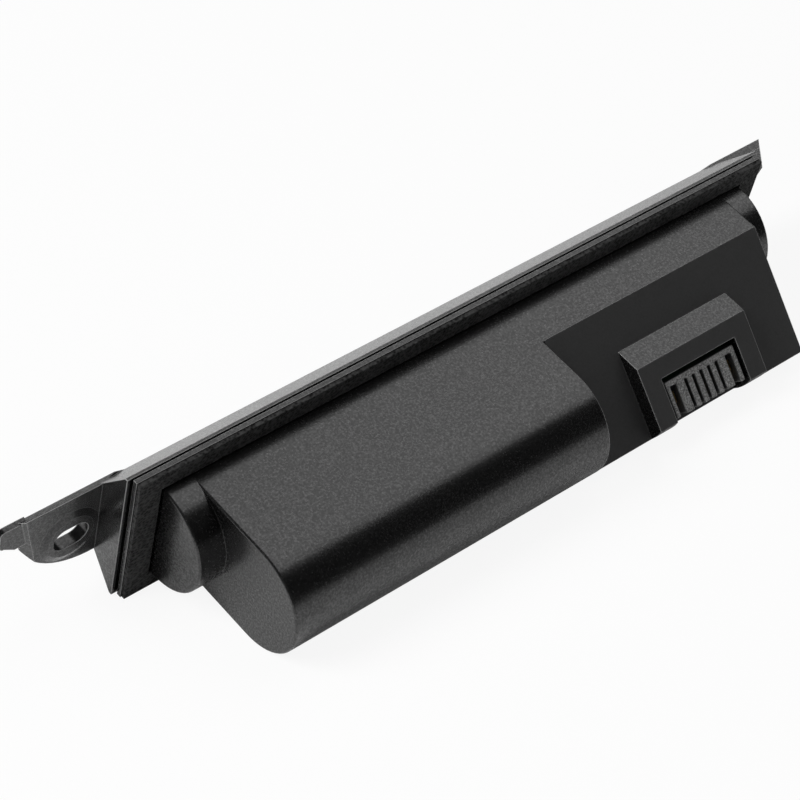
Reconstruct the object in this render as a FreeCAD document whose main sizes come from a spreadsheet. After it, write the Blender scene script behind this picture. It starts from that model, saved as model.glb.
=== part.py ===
import FreeCAD, Part
import math
import os
import re
import Sketcher

# Rechargeable battery pack for a portable speaker: a lobed case of three round cells, closed by a
# bevelled outer cover with a screw ear. Everything is drawn with the cover's flat face at Z = 0, the
# pack's length along X and its crown up, and then laid on its side as it comes to rest.

doc = FreeCAD.newDocument("speaker_battery")
sheet = doc.addObject("Spreadsheet::Sheet", "Sizes")

sizes = {
    # cells
    "cell_diameter": 18.4,
    "cell_length": 65.0,
    "cell_edge": 0.8,
    "cap_height": 0.5,
    "cap_radius": 4.6,
    "bead_width": 1.6,
    "bead_depth": 0.7,
    "bead_from_cap": 3.6,
    "layer_gap": 0.2,
    "floor_gap": 0.1,
    "cell_gap": 0.75,
    "row_pad": 2.3,
    "upper_pad": 1.8,
    "upper_end_gap": 2.2,
    # lower case
    "wall": 1.1,
    "left_lobe_reach": 5.6,
    "right_lobe_reach": 4.9,
    "case_edge_radius": 0.4,
    # flange, joint and gasket
    "flange_reach": 5.2,
    "flange_side": 4.15,
    "flange_thickness": 0.9,
    "joint_gap": 0.4,
    "joint_inset": 0.8,
    "gasket_thickness": 0.8,
    "gasket_inset": 0.2,
    "gasket_gap": 0.3,
    # slanted recess and connector block
    "recess_edge_lift": 8.8,
    "recess_angle": 48.7,
    "block_rim": 4.35,
    "block_lift": 3.3,
    "block_inset": 5.55,
    "connector_from_end": 26.65,
    "window_length": 19.3,
    "window_width": 9.75,
    # connector insert
    "insert_play": 0.6,
    "insert_gap": 1.1,
    "insert_width": 7.1,
    "insert_sink": 0.5,
    "insert_rim": 1.2,
    "slot_depth": 4.0,
    "slot_pitch": 2.0,
    "signal_slot_width": 0.7,
    "power_slot_width": 1.5,
    "power_slot_inset": 1.85,
    "contact_gap": 0.15,
    "contact_rise": 2.6,
    "contact_length": 3.6,
    "contact_end_gap": 1.2,
    "tail_length": 1.4,
    # protection board
    "board_length": 46.0,
    "board_end_gap": 2.55,
    "board_start": 6.0,
    "board_inset": 0.2,
    "board_thickness": 1.0,
    "board_depth": 2.6,
    "rail_width": 1.2,
    "rail_length": 42.0,
    "lower_rail_start": 6.3,
    "upper_rail_gap": 2.4,
    # outer cover
    "left_overhang": 0.95,
    "right_overhang": 0.65,
    "end_slope": 2.3,
    "bevel_run": 8.65,
    "cover_depth": 7.6,
    "rim_land": 0.6,
    "floor_wall": 1.0,
    # screw ear and tongue
    "ear_length": 16.6,
    "ear_thickness": 1.9,
    "ear_half_width": 8.7,
    "ear_bevel": 1.4,
    "ear_root": 6.0,
    "ear_round_past": 0.7,
    "ear_round_along": 0.7,
    "ear_round_aside": 8.1,
    "slot_hole_length": 7.1,
    "slot_hole_width": 4.9,
    "slot_hole_from_wall": 5.95,
    "slot_hole_aside": 0.75,
    "boss_foot_radius": 6.0,
    "boss_land_radius": 4.6,
    "boss_height": 0.5,
    "tip_reach": 13.4,
    "tip_bevel": 1.5,
    "tip_skew": 11.8,
    "tongue_length": 3.1,
    "tongue_low_side": 1.9,
    "tongue_high_side": 7.8,
    "tongue_taper": 1.5,
    "tongue_thickness": 1.2,
    "tongue_round": 0.9,
    # lip
    "lip_length": 11.1,
    "lip_thickness": 1.9,
    "lip_root_inset": 5.1,
    "lip_flare": 2.5,
    "lip_neck_half_width": 7.05,
    "lip_end_half_width": 7.2,
    "lip_skew": 27.0,
    "lip_bevel": 1.5,
    # strips, rings, pads and wires
    "strip_thickness": 0.15,
    "strip_width": 4.0,
    "strip_reach": 4.0,
    "link_thickness": 0.3,
    "jog_lift": 0.1,
    "ring_thickness": 0.25,
    "ring_play": 0.6,
    "ring_inset": 0.1,
    "separator_inset": 5.5,
    "separator_gap": 0.4,
    "separator_width": 9.0,
    "separator_thickness": 0.15,
    "pad_inset": 1.2,
    "wire_radius": 0.5,
    "wire_bend": 2.0,
    "wire_aside_upper": 8.2,
    "wire_aside_middle": 5.6,
    "wire_back_upper": 12.8,
    "wire_back_middle": 16.8,
    "tap_width": 1.6,
    "positive_drop": 4.9,
    "tab_drop": 1.9,
}
# small parts on the board: middle along the pack, middle down from the board's top, length, width, height
chips = {
    "control_chip": (0.0, 10.8, 6.5, 5.0, 1.2),
    "charge_switch": (9.0, 11.8, 5.0, 6.0, 1.1),
    "discharge_switch": (16.0, 11.8, 5.0, 6.0, 1.1),
    "shunt_resistor": (12.5, 4.8, 6.4, 3.2, 0.7),
    "chip_fuse": (-4.0, 3.8, 6.0, 2.6, 0.9),
    "thermistor": (3.5, 3.8, 1.6, 0.8, 0.8),
}
for chip, numbers in chips.items():
    for name, number in zip(("along", "down", "length", "width", "height"), numbers):
        sizes[f"{chip}_{name}"] = number
for row, (alias, number) in enumerate(sizes.items(), start=1):
    sheet.set(f"A{row}", alias)
    sheet.set(f"B{row}", str(number))
    sheet.setAlias(f"B{row}", alias)
doc.recompute()

# Places that several pieces share, as formulas of the sizes. The case is drawn round the cells: lengths
# are counted from the link between the two cells of the lower row, heights from the cover's face.
cell_radius = "(cell_diameter / 2)"
inner_radius = "(cell_diameter / 2 + cell_gap)"
half_body = "(cell_diameter / 2 + cell_gap + wall)"
lower_axis = "(floor_wall + floor_gap + cell_diameter / 2)"
upper_axis = "(floor_wall + floor_gap + cell_diameter * 1.5 + layer_gap)"
row_end = "(cell_length + link_thickness / 2)"
lobe_end = f"({row_end} + strip_thickness + row_pad + wall)"
left_body_end = f"(left_lobe_reach - {lobe_end})"
right_body_end = f"({lobe_end} - right_lobe_reach)"
upper_start = f"({left_body_end} + wall + upper_pad + strip_thickness)"
upper_cap = f"({upper_start} + cell_length)"
recess_wall = f"({upper_cap} + strip_thickness + upper_end_gap + wall)"
recess_length = f"({right_body_end} - {recess_wall})"
recess_edge_height = f"({lower_axis} + recess_edge_lift)"
recess_rise = f"({upper_axis} - {recess_edge_height})"
crown_depth = f"({half_body} * sin(recess_angle) - {recess_rise} * cos(recess_angle))"
recess_width = (f"({half_body} * cos(recess_angle) + {recess_rise} * sin(recess_angle)"
                f" + sqrt({half_body}^2 - {crown_depth}^2))")
window_start = f"({recess_width} - window_width)"
case_height = f"({upper_axis} + {half_body})"
connector_middle = f"({right_body_end} - connector_from_end)"
flange_end = f"({lobe_end} + flange_reach)"
flange_half = f"({half_body} + flange_side)"
flange_foot = "(cover_depth + joint_gap)"
flange_top = f"({flange_foot} + flange_thickness)"
left_cover_end = f"(-{flange_end} - left_overhang)"
right_cover_end = f"({flange_end} + right_overhang)"


def value(formula):
    """The number that a formula of the sizes gives."""
    return float(sheet.evalExpression(formula))


def bound(formula):
    """The formula with every size read from the sheet."""
    return re.sub(r"[a-z]\w*", lambda word: f"Sizes.{word[0]}" if word[0] in sizes else word[0], formula)


def bind(thing, **formulas):
    """Bind properties of an object to formulas of the sizes."""
    for name, formula in formulas.items():
        thing.setExpression(name.replace("__", "."), bound(formula))


def pin(drawn, curve, point, across=None, up=None):
    """Hold one point of a sketch at formula distances from the sketch's origin."""
    for kind, formula in (("DistanceX", across), ("DistanceY", up)):
        if formula is not None:
            held = drawn.addConstraint(Sketcher.Constraint(kind, -1, 1, curve, point, value(formula)))
            drawn.setExpression(f"Constraints[{held}]", bound(formula))


def draw_loop(drawn, corners):
    """Draw a closed loop; a corner is (across, up), or (across, up, centre across, centre up, turn) where
    an arc leads to it, turning left or right about that centre."""
    first = drawn.GeometryCount
    spots = [FreeCAD.Vector(value(corner[0]), value(corner[1]), 0) for corner in corners]
    ends = []
    for index, corner in enumerate(corners):
        start, stop = spots[index - 1], spots[index]
        if len(corner) == 2:
            drawn.addGeometry(Part.LineSegment(start, stop))
            ends.append((1, 2))
            continue
        centre = FreeCAD.Vector(value(corner[2]), value(corner[3]), 0)
        left = corner[4] == "left"
        begin, finish = ((start, stop) if left else (stop, start))
        begin_angle = math.atan2(begin.y - centre.y, begin.x - centre.x)
        finish_angle = math.atan2(finish.y - centre.y, finish.x - centre.x)
        if finish_angle <= begin_angle:
            finish_angle += 2 * math.pi
        circle = Part.Circle(centre, FreeCAD.Vector(0, 0, 1), (begin - centre).Length)
        drawn.addGeometry(Part.ArcOfCircle(circle, begin_angle, finish_angle))
        ends.append((1, 2) if left else (2, 1))
    for index, corner in enumerate(corners):
        after = (index + 1) % len(corners)
        drawn.addConstraint(
            Sketcher.Constraint("Coincident", first + index, ends[index][1], first + after, ends[after][0]))
        pin(drawn, first + index, ends[index][1], corner[0], corner[1])
        if len(corner) > 2:
            chord = spots[index] - spots[index - 1]
            if abs(chord.x) > abs(chord.y):
                pin(drawn, first + index, 3, up=corner[3])
            else:
                pin(drawn, first + index, 3, across=corner[2])


def sketch(body, plane, name, *loops, away="0"):
    """A sketch of closed loops on one of the body's own planes, moved along that plane's normal."""
    drawn = body.newObject("Sketcher::SketchObject", name)
    support = [feature for feature in body.Origin.OriginFeatures if feature.Role == plane][0]
    drawn.AttachmentSupport = (support, [""])
    drawn.MapMode = "FlatFace"
    bind(drawn, AttachmentOffset__Base__z=away)
    for corners in loops:
        draw_loop(drawn, corners)
    return drawn


def swept(kind, body, drawn, length, both_ways=False):
    """Pad or pocket a sketch by a formula length, along the normal for a pad and against it for a pocket."""
    feature = body.newObject(f"PartDesign::{kind}", drawn.Name + kind)
    feature.Profile = drawn
    if both_ways:
        feature.SideType = "Symmetric"
    bind(feature, Length=length)
    doc.recompute()
    return feature


def rectangle(left, right, low, high):
    return [(left, low), (right, low), (right, high), (left, high)]


def frame(half_length, half_width, inset):
    """A rectangle about the origin, drawn in from these half sizes by an inset."""
    return rectangle(f"{inset} - {half_length}", f"{half_length} - {inset}",
                     f"{inset} - {half_width}", f"{half_width} - {inset}")


def arch(half_width, foot, axis):
    """A straight-sided section with a half-round top."""
    return [(f"-{half_width}", foot), (half_width, foot), (half_width, axis),
            (f"-{half_width}", axis, "0", axis, "left")]


def on_slant(down, out):
    """The point of a cross-section that lies down the recess from its edge and out from its face."""
    return (f"({half_body} + ({down}) * cos(recess_angle) + ({out}) * sin(recess_angle))",
            f"({recess_edge_height} - ({down}) * sin(recess_angle) + ({out}) * cos(recess_angle))")


def slant_box(start, stop, low, high):
    """A rectangle of the cross-section, measured up the recess from its edge and out from its face."""
    return [on_slant(f"-({start})", low), on_slant(f"-({start})", high),
            on_slant(f"-({stop})", high), on_slant(f"-({stop})", low)]


def slant_meets_crown(out, radius):
    """Where a plane parallel to the recess meets a circle about the crown's axis, at the far side."""
    depth = f"({crown_depth} + {out})"
    reach = f"sqrt({radius}^2 - {depth}^2)"
    return (f"({depth} * sin(recess_angle) - {reach} * cos(recess_angle))",
            f"({upper_axis} + {depth} * cos(recess_angle) + {reach} * sin(recess_angle))")


pieces = []


def piece(thing, name, place=FreeCAD.Placement()):
    """Take a finished solid into the pack under its node name, where it belongs in the drawing frame."""
    thing.Label = name
    pieces.append((thing, place))
    return thing


def new_body(name):
    return doc.addObject("PartDesign::Body", name)


def soften(body, name, wanted):
    """Round the edges of the body's last solid for whose middle wanted(middle) holds."""
    solid = body.Tip
    edges = [f"Edge{index}" for index, edge in enumerate(solid.Shape.Edges, start=1)
             if wanted(edge.valueAt((edge.FirstParameter + edge.LastParameter) / 2))]
    feature = body.newObject("PartDesign::Fillet", name)
    feature.Base = (solid, edges)
    bind(feature, Radius="case_edge_radius")
    doc.recompute()


def on_ends(middle, *ends):
    """Whether an edge with this middle runs round one of these end faces of the case, above its foot."""
    return middle.z > value(flange_foot) + 0.01 and any(abs(middle.x - value(end)) < 0.01 for end in ends)


# Lower case: one moulding. The arched body and the two end lobes rise from a flange; the recess slants
# across one side of the body, and the connector block stands up out of it as far as the crown allows.
lower_case = new_body("LowerCase")
hull = sketch(lower_case, "YZ_Plane", "Hull", arch(half_body, flange_foot, upper_axis), away=left_body_end)
swept("Pad", lower_case, hull, f"{right_body_end} - {left_body_end}")
recess = sketch(lower_case, "YZ_Plane", "Recess", slant_box("-wall", case_height, "0", case_height),
                away=right_body_end)
swept("Pocket", lower_case, recess, recess_length)
block_foot = f"({recess_edge_height} + block_inset * tan(recess_angle))"
block = sketch(lower_case, "YZ_Plane", "Block", [
    (f"({half_body} - block_inset)", block_foot),
    (f"({half_body} - block_inset)", f"({block_foot} + block_lift / cos(recess_angle))"),
    slant_meets_crown("block_lift", half_body),
    (*slant_meets_crown("0", half_body), "0", upper_axis, "left"),
], away=f"{connector_middle} - window_length / 2 - block_rim")
swept("Pad", lower_case, block, "window_length + 2 * block_rim")
soften(lower_case, "BodyEdges", lambda middle: on_ends(middle, left_body_end, right_body_end))
lobes = sketch(lower_case, "YZ_Plane", "Lobes", arch(half_body, flange_foot, lower_axis))
swept("Pad", lower_case, lobes, f"{lobe_end} * 2", both_ways=True)
soften(lower_case, "LobeEdges", lambda middle: on_ends(middle, lobe_end, f"-{lobe_end}"))
flange = sketch(lower_case, "XY_Plane", "Flange", frame(flange_end, flange_half, "0"), away=flange_foot)
swept("Pad", lower_case, flange, "flange_thickness")
joint = sketch(lower_case, "XY_Plane", "JointStep", frame(flange_end, flange_half, "joint_inset"),
               away="cover_depth")
swept("Pad", lower_case, joint, "joint_gap")
main_room = sketch(lower_case, "YZ_Plane", "MainRoom", arch(inner_radius, "cover_depth", upper_axis),
                   away=f"{recess_wall} - wall")
swept("Pocket", lower_case, main_room, f"{recess_wall} - {left_body_end} - 2 * wall")
board_room = sketch(lower_case, "YZ_Plane", "BoardRoom", [
    (f"-{inner_radius}", "cover_depth"),
    (inner_radius, "cover_depth"),
    (inner_radius, f"({recess_edge_height} + wall * tan(recess_angle) - wall / cos(recess_angle))"),
    slant_meets_crown("(-wall)", inner_radius),
    (f"-{inner_radius}", upper_axis, "0", upper_axis, "left"),
], away=f"{right_body_end} - wall")
swept("Pocket", lower_case, board_room, recess_length)
lobe_room = sketch(lower_case, "YZ_Plane", "LobeRoom", arch(inner_radius, "cover_depth", lower_axis))
swept("Pocket", lower_case, lobe_room, f"({lobe_end} - wall) * 2", both_ways=True)
window = sketch(lower_case, "YZ_Plane", "Window",
                slant_box(window_start, f"{window_start} + {case_height}", "-2 * wall", "block_lift + wall"),
                away=f"{connector_middle} + window_length / 2")
swept("Pocket", lower_case, window, "window_length")
upper_rail = f"({window_start} - upper_rail_gap)"
rails = sketch(lower_case, "YZ_Plane", "Rails",
               *[slant_box(rail, f"{rail} + rail_width", "-board_depth", "-wall / 2")
                 for rail in ("lower_rail_start", upper_rail)],
               away=f"{connector_middle} - rail_length / 2")
swept("Pad", lower_case, rails, "rail_length")
piece(lower_case, "lower_case")

# Gasket: a flat ring of foam that lies on the flange round the foot of the case.
gasket = new_body("Gasket")
ring = sketch(gasket, "XY_Plane", "Ring",
              frame(flange_end, flange_half, "gasket_inset"), frame(lobe_end, half_body, "-gasket_gap"),
              away=flange_top)
swept("Pad", gasket, ring, "gasket_thickness")
piece(gasket, "seal_gasket")

# Outer cover: one moulding. The screw ear is rounded at one corner and bevelled askew at its tip, where
# the tongue stands out. The tray has bevelled sides, one square end and one sloped end with a flared lip,
# which ends in a blunt nose.
cover = new_body("OuterCover")


def cut_askew(name, along, skew, turn, corners):
    """Cut a section off the cover's end, along a line across the cover turned left (1) or right (-1)."""
    section = sketch(cover, "XZ_Plane", name, corners)
    section.AttachmentOffset = FreeCAD.Placement(
        FreeCAD.Vector(), FreeCAD.Rotation(FreeCAD.Vector(0, turn, 0), value(skew)))
    bind(section, AttachmentOffset__Base__x=along, AttachmentOffset__Rotation__Angle=skew)
    swept("Pocket", cover, section, f"4 * {flange_half}", both_ways=True)


bevel_rise = "(cover_depth - rim_land)"
bevel_wall = f"(wall * sqrt(bevel_run^2 + {bevel_rise}^2) / {bevel_rise})"
face_half = f"({flange_half} - bevel_run)"
ear_tip = f"({left_cover_end} - ear_length)"
ear_centre = f"({left_cover_end} - ear_round_along)"
ear_radius = "(ear_length - ear_round_along + ear_round_past)"
ear_side = f"(ear_round_aside - sqrt({ear_radius}^2 - ear_round_along^2))"
ear_corner = f"(ear_round_aside - sqrt({ear_radius}^2 - (ear_length - ear_round_along)^2))"
ear = sketch(cover, "XY_Plane", "Ear", [
    (f"{left_cover_end} + ear_root", face_half),
    (left_cover_end, "ear_half_width"),
    (ear_tip, "ear_half_width"),
    (ear_tip, ear_corner),
    (left_cover_end, ear_side, ear_centre, "ear_round_aside", "left"),
    (f"{left_cover_end} + wall / 2", f"-{face_half}")])
swept("Pad", cover, ear, "ear_thickness")
ear_bevel = sketch(cover, "YZ_Plane", "EarBevel", [
    ("ear_half_width - ear_bevel", "0"),
    ("ear_half_width", "0"),
    ("ear_half_width", "ear_thickness")], away=f"{left_cover_end} + ear_root")
swept("Pocket", cover, ear_bevel, "ear_length + ear_root")
cut_askew("TipBevel", f"{left_cover_end} - tip_reach", "tip_skew", 1, [
    ("0", "ear_thickness"),
    ("-ear_length", "ear_thickness"),
    ("-ear_length", "0"),
    ("-tip_bevel", "0")])
tongue_tip = f"({ear_tip} - tongue_length)"
tongue_shoulder = f"({tongue_tip} + tongue_round)"
tongue_low = "(tongue_low_side + tongue_taper)"
tongue = sketch(cover, "XY_Plane", "Tongue", [
    (f"{ear_tip} + 2 * wall", "tongue_low_side"),
    (f"{ear_tip} + 2 * wall", "tongue_high_side"),
    (tongue_shoulder, "tongue_high_side"),
    (tongue_tip, "tongue_high_side - tongue_round",
     tongue_shoulder, "tongue_high_side - tongue_round", "left"),
    (tongue_tip, f"{tongue_low} + tongue_round"),
    (tongue_shoulder, tongue_low, tongue_shoulder, f"{tongue_low} + tongue_round", "left"),
    (ear_tip, "tongue_low_side")])
swept("Pad", cover, tongue, "tongue_thickness")
tray = sketch(cover, "YZ_Plane", "Tray", [
    (f"-{face_half}", "0"), (face_half, "0"), (flange_half, bevel_rise), (flange_half, "cover_depth"),
    (f"-{flange_half}", "cover_depth"), (f"-{flange_half}", bevel_rise)], away=left_cover_end)
swept("Pad", cover, tray, f"{right_cover_end} - {left_cover_end}")
end_slope = sketch(cover, "XZ_Plane", "EndSlope", [
    (f"{right_cover_end} - end_slope", "0"),
    (right_cover_end, "0"),
    (right_cover_end, bevel_rise)])
swept("Pocket", cover, end_slope, f"2 * {flange_half}", both_ways=True)
lip_end = f"({right_cover_end} + lip_length)"
lip_nose = f"({lip_end} + lip_end_half_width * tan(lip_skew))"
lip_root = f"({right_cover_end} - lip_root_inset)"
lip = sketch(cover, "XY_Plane", "Lip", [
    (lip_root, f"-{face_half}"),
    (f"({lip_root} + lip_flare)", "-lip_neck_half_width"),
    (lip_nose, "-lip_end_half_width"),
    (lip_nose, "lip_end_half_width"),
    (f"({lip_root} + lip_flare)", "lip_neck_half_width"),
    (lip_root, face_half)])
swept("Pad", cover, lip, "lip_thickness")
for turn in (1, -1):
    cut_askew("LipNose", lip_nose, "lip_skew", turn, [
        ("0", "0"),
        ("lip_length", "0"),
        ("lip_length", "lip_thickness"),
        ("-lip_bevel", "lip_thickness")])
floor_half = f"({face_half} + floor_wall * bevel_run / {bevel_rise} - {bevel_wall})"
mouth_half = f"({flange_half} - {bevel_wall})"
tray_room = sketch(cover, "YZ_Plane", "TrayRoom", [
    (f"-{floor_half}", "floor_wall"), (floor_half, "floor_wall"),
    (mouth_half, bevel_rise), (mouth_half, "cover_depth"),
    (f"-{mouth_half}", "cover_depth"), (f"-{mouth_half}", bevel_rise)],
    away=f"{right_cover_end} - end_slope - wall")
swept("Pocket", cover, tray_room, f"{right_cover_end} - {left_cover_end} - end_slope - 2 * wall")
slot_middle = f"({left_cover_end} - slot_hole_from_wall)"
boss = sketch(cover, "XZ_Plane", "Boss", [
    ("0", "ear_thickness / 2"), ("boss_foot_radius", "ear_thickness / 2"),
    ("boss_foot_radius", "ear_thickness"), ("boss_land_radius", "ear_thickness + boss_height"),
    ("0", "ear_thickness + boss_height")], away="slot_hole_aside")
bind(boss, AttachmentOffset__Base__x=slot_middle)
boss_turn = cover.newObject("PartDesign::Revolution", "BossTurn")
boss_turn.Profile = boss
boss_turn.ReferenceAxis = (boss, ["V_Axis"])
boss_turn.Angle = 360
doc.recompute()
slot_left = f"({slot_middle} - (slot_hole_length - slot_hole_width) / 2)"
slot_right = f"({slot_middle} + (slot_hole_length - slot_hole_width) / 2)"
slot_low = "(-slot_hole_aside - slot_hole_width / 2)"
slot_high = "(-slot_hole_aside + slot_hole_width / 2)"
slot_hole = sketch(cover, "XY_Plane", "SlotHole", [
    (slot_left, slot_low, slot_left, "-slot_hole_aside", "left"), (slot_right, slot_low),
    (slot_right, slot_high, slot_right, "-slot_hole_aside", "left"), (slot_left, slot_high)],
    away="cover_depth")
swept("Pocket", cover, slot_hole, "cover_depth * 2")
piece(cover, "outer_cover")

# The connector and the board lie parallel to the recess: their frame has its origin on the recess's edge
# at the connector's middle, Y down the slope and Z out of the recess.
slant = FreeCAD.Placement(
    FreeCAD.Vector(value(connector_middle), value(half_body), value(recess_edge_height)),
    FreeCAD.Rotation(FreeCAD.Vector(1, 0, 0), -value("recess_angle")))


def shifted(along=0.0, aside=0.0, up=0.0):
    return FreeCAD.Placement(FreeCAD.Vector(along, aside, up), FreeCAD.Rotation())


# Connector insert: a moulded carrier that stands on the board and fills the window with play all round.
# Its slots are open towards the crown; a hole in the floor of each lets the contact's tail through.
insert_face = "(block_lift - insert_sink)"
insert_start = f"({window_start} + insert_gap)"
insert_end = f"({insert_start} + insert_width)"
insert_half = "(window_length / 2 - insert_play)"
slot_start = f"({insert_start} + insert_rim)"
slot_floor = f"({insert_face} - slot_depth)"
slots = [(f"({step} * slot_pitch)", "signal_slot_width") for step in range(-2, 3)]
power_slot = f"({insert_half} - power_slot_inset)"
slots = [(f"-{power_slot}", "power_slot_width"), *slots, (power_slot, "power_slot_width")]
insert = new_body("ConnectorInsert")
carrier = sketch(insert, "XY_Plane", "Carrier",
                 rectangle(f"-{insert_half}", insert_half, f"-{insert_end}", f"-{insert_start}"),
                 away="-board_depth")
swept("Pad", insert, carrier, f"board_depth + {insert_face}")
slot_sides = [(f"{middle} - {width} / 2", f"{middle} + {width} / 2") for middle, width in slots]
slot_row = sketch(insert, "XY_Plane", "SlotRow",
                  *[rectangle(left, right, f"-{insert_end} - wall", f"-{slot_start}")
                    for left, right in slot_sides], away=insert_face)
swept("Pocket", insert, slot_row, "slot_depth")
tail_start = f"({slot_start} + contact_end_gap)"
tail_row = sketch(insert, "XY_Plane", "TailRow",
                  *[rectangle(left, right, f"-{tail_start} - tail_length - contact_gap",
                              f"-{tail_start} + contact_gap") for left, right in slot_sides],
                  away=insert_face)
swept("Pocket", insert, tail_row, f"board_depth + {insert_face}")
piece(insert, "connector_insert", slant)

# Contacts: flat leaves, one in each slot, with a tail that stands on the board.
for number, (middle, width) in enumerate(slots, start=1):
    contact = new_body(f"Contact{number}")
    leaf = sketch(contact, "YZ_Plane", f"Leaf{number}", [
        (f"-{tail_start}", "-board_depth"),
        (f"-{tail_start}", f"{slot_floor} + contact_rise"),
        (f"-{tail_start} - contact_length / 2", f"{slot_floor} + contact_rise"),
        (f"-{tail_start} - contact_length", f"{slot_floor} + contact_rise / 2"),
        (f"-{tail_start} - contact_length", slot_floor),
        (f"-{tail_start} - tail_length", slot_floor),
        (f"-{tail_start} - tail_length", "-board_depth")])
    swept("Pad", contact, leaf, f"{width} - 2 * contact_gap", both_ways=True)
    piece(contact, f"contact_{number}", slant * shifted(along=value(middle)))

# Protection board, held against two rails of the case, with its small parts on the side of the cells.
board_right = f"({right_body_end} - wall - board_end_gap)"
board_left = f"({board_right} - board_length)"
board_top = f"({insert_end} - board_inset)"
board = new_body("Board")
blank = sketch(board, "XY_Plane", "Blank",
               rectangle(f"{board_left} - {connector_middle}", f"{board_right} - {connector_middle}",
                         f"-{board_top}", "-board_start"),
               away="-board_depth - board_thickness")
swept("Pad", board, blank, "board_thickness")
piece(board, "protection_board", slant)
for chip in chips:
    solid = doc.addObject("Part::Box", chip)
    bind(solid, Length=f"{chip}_length", Width=f"{chip}_width", Height=f"{chip}_height")
    piece(solid, chip, slant * shifted(value(f"{chip}_along - {chip}_length / 2"),
                                       value(f"{chip}_down - {board_top} - {chip}_width / 2"),
                                       value(f"-board_depth - board_thickness - {chip}_height")))

# Cells: sealed round cans with a bead below the capped end, and a paper ring round each cap. The two of
# the lower row lie in line with a link between them; the upper one lies the other way round.
can_end = "(cell_length - cap_height)"
bead_end = f"({can_end} - bead_from_cap)"
half_turn = FreeCAD.Placement(FreeCAD.Vector(), FreeCAD.Rotation(FreeCAD.Vector(0, 0, 1), 180))
cell_places = {
    "lower_left": shifted(value("-link_thickness / 2"), 0, value(lower_axis)) * half_turn,
    "lower_right": shifted(value(row_end), 0, value(lower_axis)) * half_turn,
    "upper": shifted(value(upper_start), 0, value(upper_axis)),
}


def circle(radius):
    return [(radius, "0", "0", "0", "left"), (f"-{radius}", "0", "0", "0", "left")]


for number, (name, place) in enumerate(cell_places.items(), start=1):
    cell = new_body(f"Cell{number}")
    can = sketch(cell, "XZ_Plane", f"Can{number}", [
        ("0", "0"),
        ("0", cell_radius),
        (f"{bead_end} - bead_width", cell_radius),
        (f"{bead_end} - bead_width / 2", f"{cell_radius} - bead_depth"),
        (bead_end, cell_radius),
        (f"{can_end} - cell_edge", cell_radius),
        (can_end, f"{cell_radius} - cell_edge"),
        (can_end, "cap_radius"),
        ("cell_length", "cap_radius"),
        ("cell_length", "0")])
    turned = cell.newObject("PartDesign::Revolution", f"Turned{number}")
    turned.Profile = can
    turned.ReferenceAxis = (can, ["H_Axis"])
    turned.Angle = 360
    doc.recompute()
    piece(cell, f"cell_{name}", place)
    paper = new_body(f"Paper{number}")
    washer = sketch(paper, "YZ_Plane", f"Washer{number}",
                    circle(f"({cell_radius} - cell_edge - ring_inset)"), circle("(cap_radius + ring_play)"),
                    away=can_end)
    swept("Pad", paper, washer, "ring_thickness")
    piece(paper, f"insulating_ring_{number}", place)

# Nickel strips: bent ribbons that lie on the cell ends, drawn as their side view. The left one joins the
# two layers; the positive and negative ones run to the ends of the board.
jog_low = f"({lower_axis} + {cell_radius} + jog_lift)"
tab_height = f"({upper_axis} - tab_drop)"


def ribbon(name, first, first_end, run, last, last_end):
    """A strip with two upright tabs joined by a level run. A tab is given by the two faces of it that the run
    meets, the one against the cell or board first, and by the height where it ends."""
    body = new_body(name.title().replace("_", ""))
    side = sketch(body, "XZ_Plane", body.Name + "Side", [
        (first[0], first_end), (first[0], run), (last[0], run), (last[0], last_end),
        (last[1], last_end), (last[1], f"{run} + strip_thickness"),
        (first[1], f"{run} + strip_thickness"), (first[1], first_end)])
    swept("Pad", body, side, "strip_width", both_ways=True)
    return piece(body, name)


def thick(face, outward):
    return face, f"{face} {outward} strip_thickness"


link_left = ribbon("link_strip_left", thick(f"-{row_end}", "-"), f"{lower_axis} - strip_reach", jog_low,
                   thick(upper_start, "-"), f"{upper_axis} + strip_reach")
tap = sketch(link_left, "XY_Plane", "Tap",
             rectangle(f"{upper_start} - strip_thickness - tap_width", f"{upper_start} - strip_thickness",
                       "-wire_aside_upper - wire_radius", "0"), away=jog_low)
swept("Pad", link_left, tap, "strip_thickness")
ribbon("negative_strip", thick(row_end, "+"), f"{lower_axis} - strip_reach", jog_low,
       thick(board_right, "+"), tab_height)
ribbon("positive_strip", thick(upper_cap, "+"), f"{upper_axis} + strip_reach",
       f"({upper_axis} - positive_drop)", thick(board_left, "-"), tab_height)

# Middle link: a plate between the two cells of the lower row, with an arm out to the wire's channel.
wire_height = f"({jog_low} + strip_thickness / 2)"
link_middle = new_body("LinkMiddle")
plate = sketch(link_middle, "YZ_Plane", "Plate", [
    ("-strip_width / 2", f"{lower_axis} - strip_reach"),
    ("strip_width / 2", f"{lower_axis} - strip_reach"),
    ("strip_width / 2", f"{lower_axis} + strip_width / 2"),
    ("-wire_aside_middle + tap_width / 2", f"{wire_height} + tap_width / 2"),
    ("-wire_aside_middle - tap_width / 2", f"{wire_height} - tap_width / 2")])
swept("Pad", link_middle, plate, "link_thickness", both_ways=True)
piece(link_middle, "link_strip_middle")


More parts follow.
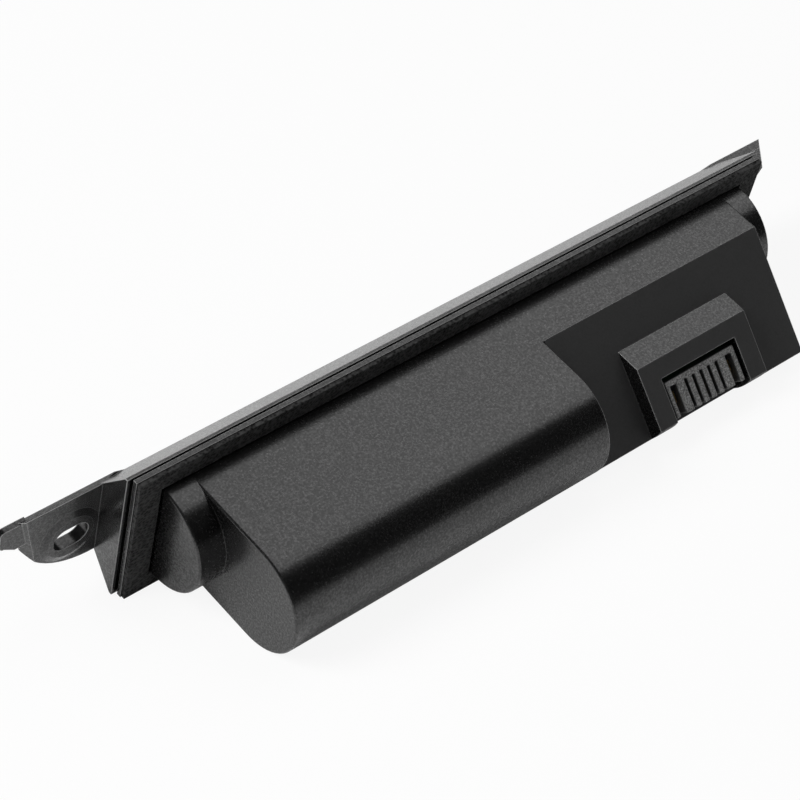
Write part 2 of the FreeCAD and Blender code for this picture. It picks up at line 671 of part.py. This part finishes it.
def sense_wire(name, start, back, aside):
    """A wire that runs along the channel beside the cells and turns out to the underside of the board, this
    far back from the connector's middle."""
    out = slant.Rotation.multVec(FreeCAD.Vector(0, 0, 1))
    begin = FreeCAD.Vector(value(start), -value(aside), value(wire_height))
    corner = FreeCAD.Vector(value(f"{connector_middle} - {back}"), begin.y, begin.z)
    rise = -value("board_depth + board_thickness") - slant.inverse().multVec(corner).z
    bend = value("wire_bend")
    before = corner - FreeCAD.Vector(bend, 0, 0)
    after = corner + out * bend
    middle = before + out * bend + (corner - after + FreeCAD.Vector(bend, 0, 0)).normalize() * bend
    path = Part.Wire([Part.makeLine(begin, before), Part.Arc(before, middle, after).toShape(),
                      Part.makeLine(after, corner + out * rise)])
    ring = Part.Wire([Part.makeCircle(value("wire_radius"), begin, FreeCAD.Vector(1, 0, 0))])
    wire = doc.addObject("Part::Feature", name)
    wire.Shape = path.makePipeShell([ring], True, True)
    piece(wire, name)


sense_wire("sense_wire_upper", f"{upper_start} - strip_thickness", "wire_back_upper", "wire_aside_upper")
sense_wire("sense_wire_middle", "link_thickness / 2", "wire_back_middle", "wire_aside_middle")

# Fish paper between the two layers of cells.
separator = doc.addObject("Part::Box", "Separator")
separator_start = f"({upper_start} + separator_inset)"
bind(separator, Length=f"-link_thickness / 2 - separator_gap - {separator_start}", Width="separator_width",
     Height="separator_thickness")
piece(separator, "cell_separator", shifted(
    value(separator_start), value("-separator_width / 2"),
    value(f"{lower_axis} + {cell_radius} + (layer_gap - separator_thickness) / 2")))

# Foam pads: discs that fill the play between the cell ends and the end walls of the case.
for name, axis, start, thickness in (
        ("foam_pad_left", lower_axis, f"wall - {lobe_end}", "row_pad"),
        ("foam_pad_right", lower_axis, f"{row_end} + strip_thickness", "row_pad"),
        ("foam_pad_upper", upper_axis, f"{left_body_end} + wall", "upper_pad")):
    pad = new_body(name.title().replace("_", ""))
    disc = sketch(pad, "YZ_Plane", pad.Name + "Disc", circle(f"({cell_radius} - pad_inset)"), away=start)
    swept("Pad", pad, disc, thickness)
    piece(pad, name, shifted(up=value(axis)))

# The pack lies on the edge of its flange and on the round of its crown: it is turned about X until both
# touch the ground, and moved so that the origin is at the middle of its footprint.
crown_over_flange = value(f"{upper_axis} - {flange_top}")
lean = math.degrees(math.acos(value(half_body) / math.hypot(value(flange_half), crown_over_flange))
                    - math.atan2(crown_over_flange, value(flange_half)))
lay = FreeCAD.Placement(FreeCAD.Vector(), FreeCAD.Rotation(FreeCAD.Vector(1, 0, 0), 90 + lean))


def set_down():
    bounds = FreeCAD.BoundBox()
    for thing, place in pieces:
        thing.Placement = lay * place
    doc.recompute()
    for thing, place in pieces:
        bounds.add(thing.Shape.optimalBoundingBox(False))
    return bounds


bounds = set_down()
lay.Base = FreeCAD.Vector(-bounds.Center.x, -bounds.Center.y, -bounds.ZMin)
set_down()

for thing in doc.Objects:
    if "Invalid" in thing.State or "Error" in thing.State:
        raise RuntimeError(f"{thing.Label}: {thing.State}")
os.makedirs("parts", exist_ok=True)
for thing, place in pieces:
    if thing.Shape.isNull() or not thing.Shape.isValid() or len(thing.Shape.Solids) != 1:
        raise RuntimeError(f"{thing.Label}: not one sound solid")
for thing, place in pieces:
    thing.Shape.exportStep(f"parts/{thing.Label}.step")
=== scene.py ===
import bmesh
import bpy
from mathutils import Matrix, Vector

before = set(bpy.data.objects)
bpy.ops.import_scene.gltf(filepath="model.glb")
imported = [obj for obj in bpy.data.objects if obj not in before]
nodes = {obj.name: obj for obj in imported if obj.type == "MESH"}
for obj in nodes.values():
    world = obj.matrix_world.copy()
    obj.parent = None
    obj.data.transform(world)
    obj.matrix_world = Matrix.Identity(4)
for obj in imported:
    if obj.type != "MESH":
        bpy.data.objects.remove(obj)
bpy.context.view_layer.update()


# Lower case: a black moulding in the shape of the cells that it holds, with a slanted recess and a raised
# connector block. Its mould was spark-eroded, which leaves a fine grain on every outer face and a soft
# roundness on the edges. It is welded to the cover at the flange.
class Shade:
    """A shader socket for use in Python expressions: each operator adds a Math node."""

    def __init__(self, tree, socket=None):
        self.tree = tree
        self.socket = socket

    def make(self, kind, inputs=None, output=0, **settings):
        """Adds one node: its settings first, then the values or links of its sockets."""
        node = self.tree.nodes.new("ShaderNode" + kind)
        for name, setting in settings.items():
            setattr(node, name, setting)
        for name, given in (inputs or {}).items():
            if isinstance(given, Shade):
                self.tree.links.new(given.socket, node.inputs[name])
            else:
                node.inputs[name].default_value = given
        return Shade(self.tree, node.outputs[output] if node.outputs else None)

    def maths(self, operation, first, second):
        """Adds one Math node."""
        return self.make("Math", {0: first, 1: second}, operation=operation)

    def __add__(self, other):
        return self.maths("ADD", self, other)

    def __radd__(self, other):
        return self.maths("ADD", other, self)

    def __sub__(self, other):
        return self.maths("SUBTRACT", self, other)

    def __rsub__(self, other):
        return self.maths("SUBTRACT", other, self)

    def __mul__(self, other):
        return self.maths("MULTIPLY", self, other)

    def __rmul__(self, other):
        return self.maths("MULTIPLY", other, self)


def new_material(name):
    """An empty material, with the handle that its nodes are made through."""
    material = bpy.data.materials.new(name)
    material.use_nodes = True
    material.node_tree.nodes.clear()
    return material, Shade(material.node_tree)


def surface(shade, inputs):
    """The material's surface: one Principled shader with these sockets."""
    shader = shade.make("BsdfPrincipled", inputs)
    shade.make("OutputMaterial", {"Surface": shader})


def noise(place, scale, detail, **inputs):
    """Even noise, with this many waves to the metre."""
    return place.make("TexNoise", {"Vector": place, "Scale": scale, "Detail": detail, **inputs})


def tone(shade, fac, dark, light):
    """A colour that runs between two others with a factor. Each is three numbers or a socket."""
    dark, light = [end if isinstance(end, Shade) else (*end, 1.0) for end in (dark, light)]
    # the Mix node's colours are its sockets 6 and 7, and its output 2
    return shade.make("Mix", {"Factor": fac, 6: dark, 7: light}, output=2, data_type="RGBA")


def clamped(number):
    """The number, held between 0 and 1."""
    return number.make("Math", {0: number, 1: 1.0}, operation="MULTIPLY", use_clamp=True)


def alike(first, second):
    """The cosine between two directions."""
    return first.make("VectorMath", {0: first, 1: second}, output="Value", operation="DOT_PRODUCT")


def grained_plastic(name, dark, light, gloss, grain, depth, edge, specular, edge_wear_and_painted_light, painted_shade_reach=0.0012, dull=None):
    """Moulded plastic: a fine grain of this size, faint flow clouds, edges rounded and given another tone, which
    is wear with a painted highlight where that tone is pale and painted shade where it is dark, and painted
    shade in the hollows.
    Faces that look one way, in one stretch of the pack, can be duller."""
    material, shade = new_material(name)
    place = shade.make("TexCoord", output="Object")
    speck = noise(place, scale=1.0 / grain, detail=3.0, Roughness=0.65)
    cloud = noise(place, scale=60.0, detail=4.0)
    rounded = shade.make("Bevel", {"Radius": edge}, samples=6)
    flat = shade.make("NewGeometry", output="Normal")
    # painted shade: the colour goes to its dark tone where ambient occlusion finds a hollow within this reach
    painted_shade_occlusion = shade.make("AmbientOcclusion", {"Distance": painted_shade_reach}, output="AO", samples=8)

    painted_shade_threshold, painted_shade_gain = 0.55, 3.0
    edge_gain = 6.0
    grit_start, grit_gain = 0.42, 3.5
    clear = clamped((painted_shade_occlusion - painted_shade_threshold) * painted_shade_gain)
    # painted edge light: rounded edges take the edge tone, which is wear with a painted highlight when pale and
    # painted shade when dark
    worn_and_painted_edge = clamped((1 - alike(rounded, flat)) * edge_gain) * clear
    grit = clamped((speck - grit_start) * grit_gain)
    colour = tone(shade, (0.6 * grit + 0.2 * cloud) * clear, dark, light)
    rough = gloss + 0.08 * speck + 0.05 * cloud - 0.05 * worn_and_painted_edge
    if dull:
        facing, middle, reach, grey = dull
        same_way = 0.98
        mottle_low, mottle_high = 0.4, 1.6
        along = shade.make("SeparateXYZ", {"Vector": place}, output="X")
        within = shade.make("Math", {0: along, 1: middle, 2: reach}, operation="COMPARE")
        matt = shade.maths("GREATER_THAN", alike(flat, facing), same_way) * within
        mottled = tone(shade, speck, [mottle_low * part for part in grey], [mottle_high * part for part in grey])
        colour = tone(shade, matt, colour, mottled)
        rough = rough + 0.2 * matt
    surface(shade, {
        "Base Color": tone(shade, worn_and_painted_edge, colour, edge_wear_and_painted_light),
        "Roughness": rough,
        "Specular IOR Level": specular,
        "Coat Weight": grit,
        "Coat Roughness": gloss,
        "Normal": shade.make("Bump", {
            "Height": speck, "Normal": rounded, "Strength": 0.5, "Distance": depth})})
    return material


def dress(names, material):
    """Gives the pieces of these names one material."""
    for name in names:
        nodes[name].material_slots[0].material = material


deep_black, pale_black = (0.001, 0.001, 0.001), (0.011, 0.011, 0.0112)
recess_facing = (0.0, -0.7927, 0.6096)
recess_middle, recess_reach = 0.0392, 0.0277
recess_grey = (0.027, 0.027, 0.0272)
# The pale edge tone is wear with a painted highlight, and the hollows get painted shade.
dress(["lower_case"], grained_plastic(
    "case_plastic", deep_black, pale_black, gloss=0.2, grain=0.00042, depth=0.00003, edge=0.00025,
    specular=0.6, edge_wear_and_painted_light=(0.3, 0.3, 0.3), dull=(recess_facing, recess_middle, recess_reach, recess_grey)))

# Outer cover: a black moulding that closes the bay of the speaker when the pack is in. Its bevelled sides
# and its flat face are the outside of the speaker, so they are smoother than the case.
# The pale edge tone is wear with a painted highlight, and the hollows get painted shade.
dress(["outer_cover"], grained_plastic(
    "cover_plastic", deep_black, pale_black, gloss=0.18, grain=0.0004, depth=0.00002, edge=0.0003,
    specular=0.6, edge_wear_and_painted_light=(0.4, 0.4, 0.4)))


# Gasket and pads: a die-cut ring of black foam, stuck to the flange, and grey pads that are pressed between
# the cells and the case. The foam's cells are open at the cut faces, so that it looks pitted and throws back
# hardly any light.
def open_foam(name, dark, light, cell, depth):
    """Foam with open cells of this size, pitted to this depth."""
    material, shade = new_material(name)
    place = shade.make("TexCoord", output="Object")
    pits = shade.make("TexVoronoi", {"Vector": place, "Scale": 1.0 / cell})
    cloud = noise(place, scale=250.0, detail=3.0)
    height = pits + 0.5 * cloud
    lowest_pit, pit_gain = 0.35, 1.6
    surface(shade, {
        "Base Color": tone(shade, (height - lowest_pit) * pit_gain, dark, light),
        "Roughness": 0.95 - 0.15 * cloud,
        "Specular IOR Level": 0.3,
        "Normal": shade.make("Bump", {"Height": height, "Strength": 0.8, "Distance": depth})})
    return material


dress(["seal_gasket"], open_foam(
    "gasket_foam", deep_black, light=(0.042, 0.042, 0.042), cell=0.0006, depth=0.0003))
dress([f"foam_pad_{place}" for place in ("left", "right", "upper")], open_foam(
    "pad_foam", dark=(0.04, 0.04, 0.04), light=(0.13, 0.13, 0.13), cell=0.0012, depth=0.0004))

# Connector insert: a carrier for the contacts, moulded in a grey, glass-filled plastic that stands the heat
# of soldering. It stands on the board and shows in the window of the case. The ribs between its slots are
# rounded. Its mesh is first joined into whole faces, so that the rounding runs along whole edges.
# The dark edge tone is painted shade on the rib edges, and the wide reach paints shade deep into the slots.
dress(["connector_insert"], grained_plastic(
    "insert_plastic", dark=(0.02, 0.02, 0.02), light=(0.45, 0.45, 0.446), gloss=0.4, grain=0.0003,
    depth=0.00002, edge=0.0003, specular=0.5, edge_wear_and_painted_light=(0.05, 0.05, 0.05), painted_shade_reach=0.004))
for name, kind, settings in (
        ("joined", "WELD", {"merge_threshold": 0.00001}),
        ("whole", "DECIMATE", {"decimate_type": "DISSOLVE", "angle_limit": 0.02}),
        ("rounding", "BEVEL", {"width": 0.0003, "segments": 3, "limit_method": "ANGLE", "angle_limit": 0.7})):
    modifier = nodes["connector_insert"].modifiers.new(name, kind)
    for setting, given in settings.items():
        setattr(modifier, setting, given)


# Contacts and strips: contacts stamped from dark spring bronze, and strips slit from rolled nickel sheet and
# spot-welded to the cells. Rolling leaves fine lines along them.
def rolled_metal(name, dark, light, gloss, line):
    """Bare metal with drawn-out lines of this width, and faint smears."""
    material, shade = new_material(name)
    place = shade.make("TexCoord", output="Object")
    drawn = shade.make("Mapping", {"Vector": place, "Scale": (0.1, 1.0, 1.0)})
    lines = noise(drawn, scale=1.0 / line, detail=3.0)
    smear = noise(place, scale=400.0, detail=2.0)
    surface(shade, {
        "Base Color": tone(shade, smear, dark, light),
        "Metallic": 1.0,
        "Roughness": gloss + 0.15 * lines + 0.1 * smear,
        "Normal": shade.make("Bump", {"Height": lines, "Strength": 0.3, "Distance": 0.00001})})
    return material


dress([f"contact_{number}" for number in range(1, 8)], rolled_metal(
    "contact_metal", dark=(0.33, 0.23, 0.1), light=(0.46, 0.34, 0.17), gloss=0.3, line=0.0001))
dress(["link_strip_left", "link_strip_middle", "positive_strip", "negative_strip"], rolled_metal(
    "nickel", dark=(0.5, 0.49, 0.46), light=(0.68, 0.67, 0.64), gloss=0.25, line=0.0002))


# Cells and wires: steel cans in a sleeve of shrunk film, and thin wires in soft insulation. Both have a
# smooth skin with the slight waviness of film that was drawn tight.
def smooth_skin(name, dark, light, gloss):
    """A thin coloured skin, slightly wavy and a little dusty."""
    material, shade = new_material(name)
    place = shade.make("TexCoord", output="Object")
    ripple = noise(place, scale=180.0, detail=2.0)
    dust = noise(place, scale=2500.0, detail=2.0)
    surface(shade, {
        "Base Color": tone(shade, 0.7 * ripple + 0.3 * dust, dark, light),
        "Roughness": gloss + 0.15 * dust,
        "Normal": shade.make("Bump", {"Height": ripple, "Strength": 0.25, "Distance": 0.0002})})
    return material


dress([f"cell_{place}" for place in ("lower_left", "lower_right", "upper")], smooth_skin(
    "cell_wrap", dark=(0.06, 0.16, 0.25), light=(0.09, 0.22, 0.33), gloss=0.25))
dress(["sense_wire_upper", "sense_wire_middle"], smooth_skin(
    "wire_jacket", dark=(0.62, 0.6, 0.52), light=(0.74, 0.72, 0.64), gloss=0.4))


# Paper: rings and a sheet punched from fish paper, a hard vulcanised board that keeps the bare metal of the
# cells from what lies next to it. The rings sit round the caps, and the sheet between the two layers.
def fish_paper(name, dark, light):
    """Hard paper with matted fibres."""
    material, shade = new_material(name)
    place = shade.make("TexCoord", output="Object")
    fibre = noise(place, scale=1500.0, detail=5.0, Distortion=1.5)
    surface(shade, {
        "Base Color": tone(shade, fibre, dark, light),
        "Roughness": 0.75 + 0.2 * fibre,
        "Normal": shade.make("Bump", {"Height": fibre, "Strength": 0.4, "Distance": 0.00004})})
    return material


dress([f"insulating_ring_{number}" for number in range(1, 4)] + ["cell_separator"], fish_paper(
    "insulating_paper", dark=(0.62, 0.58, 0.47), light=(0.8, 0.77, 0.68)))

# Board and its small parts: glass laminate under a smooth green mask, with parts moulded in black resin that
# are soldered to the side that faces the cells. The board rests on two ledges of the case.
dress(["protection_board"], smooth_skin(
    "board_laminate", dark=(0.015, 0.1, 0.04), light=(0.03, 0.17, 0.07), gloss=0.3))
dress(["control_chip", "charge_switch", "discharge_switch", "shunt_resistor", "chip_fuse", "thermistor"],
      grained_plastic("chip_resin", dark=(0.015, 0.015, 0.016), light=(0.035, 0.035, 0.037), gloss=0.45,
                      grain=0.0001, depth=0.00001, edge=0.00005, specular=0.5, edge_wear_and_painted_light=(0.05, 0.05, 0.05)))


# Floor: the white table that the pack lies on. The camera sees it as nearly plain white, with a faint shadow,
# and the pack's black faces reflect it as it is lit.
def placed(name, data):
    """A new object of this data, linked to the scene."""
    thing = bpy.data.objects.new(name, data)
    bpy.context.collection.objects.link(thing)
    return thing


half_floor = 3.0
floor_shape = bmesh.new()
bmesh.ops.create_grid(floor_shape, x_segments=1, y_segments=1, size=half_floor)
floor_mesh = bpy.data.meshes.new("floor")
floor_shape.to_mesh(floor_mesh)
floor_shape.free()
floor = placed("floor", floor_mesh)
floor_white, shade = new_material("table_white")
plain_share = 0.9
sight = shade.make("LightPath", output="Is Camera Ray")
matte = shade.make("BsdfDiffuse", {"Color": (0.78, 0.78, 0.78, 1.0)})
white = shade.make("Emission", {"Color": (1.0, 1.0, 1.0, 1.0), "Strength": 1.0})
both = shade.make("MixShader", {0: sight * plain_share, 1: matte, 2: white})
shade.make("OutputMaterial", {"Surface": both})
floor_mesh.materials.append(floor_white)


# Light: a large round softbox above the right end, which the black faces are seen by. One at the left rear
# and a weak one in front only light the table and the matt faces. The dim world is plain white to the camera.
def soft_lamp(name, place, across, power, mirrored):
    """A round lamp of this width that faces the pack, and shows in its gloss only where it is said to."""
    lamp = bpy.data.lights.new(name, "AREA")
    lamp.shape = "DISK"
    lamp.size = across
    lamp.energy = power
    lamp_object = placed(name, lamp)
    lamp_object.visible_glossy = mirrored
    facing = Vector(place).to_track_quat("Z", "Y").to_matrix().to_4x4()
    lamp_object.matrix_world = Matrix.Translation(place) @ facing


soft_lamp("softbox_right", place=(0.6, 0.0, 1.0), across=1.14, power=4.4, mirrored=True)
soft_lamp("softbox_left", place=(-0.95, 0.36, 0.92), across=0.8, power=19.0, mirrored=False)
soft_lamp("softbox_front", place=(-0.3, -0.9, 0.9), across=1.0, power=3.0, mirrored=False)
room = bpy.data.worlds.new("room")
room.use_nodes = True
room.node_tree.nodes.clear()
bpy.context.scene.world = room
shade = Shade(room.node_tree)
dim = 0.03
sight = shade.make("LightPath", output="Is Camera Ray")
air = shade.make("Background", {"Color": (1.0, 1.0, 1.0, 1.0), "Strength": dim + (1 - dim) * sight})
shade.make("OutputWorld", {"Surface": air})

# Camera: looks down on the pack from its left front corner, as the photograph does.
# Its place and its two directions were fitted to the straight edges of the photograph.
camera = bpy.data.cameras.new("camera")
camera.sensor_width = 36.0
camera.lens = 121.7
camera.clip_end = 20.0
camera_object = placed("camera", camera)
eye = Vector((-0.26305, -0.257533, 0.321841))
rightward = Vector((0.749815, -0.660506, 0.038851))
upward = Vector((0.402408, 0.501854, 0.765644))
turned = Matrix((rightward, upward, rightward.cross(upward))).transposed().to_4x4()
camera_object.matrix_world = Matrix.Translation(eye) @ turned
bpy.context.scene.camera = camera_object
bpy.context.scene.view_settings.view_transform = "Standard"
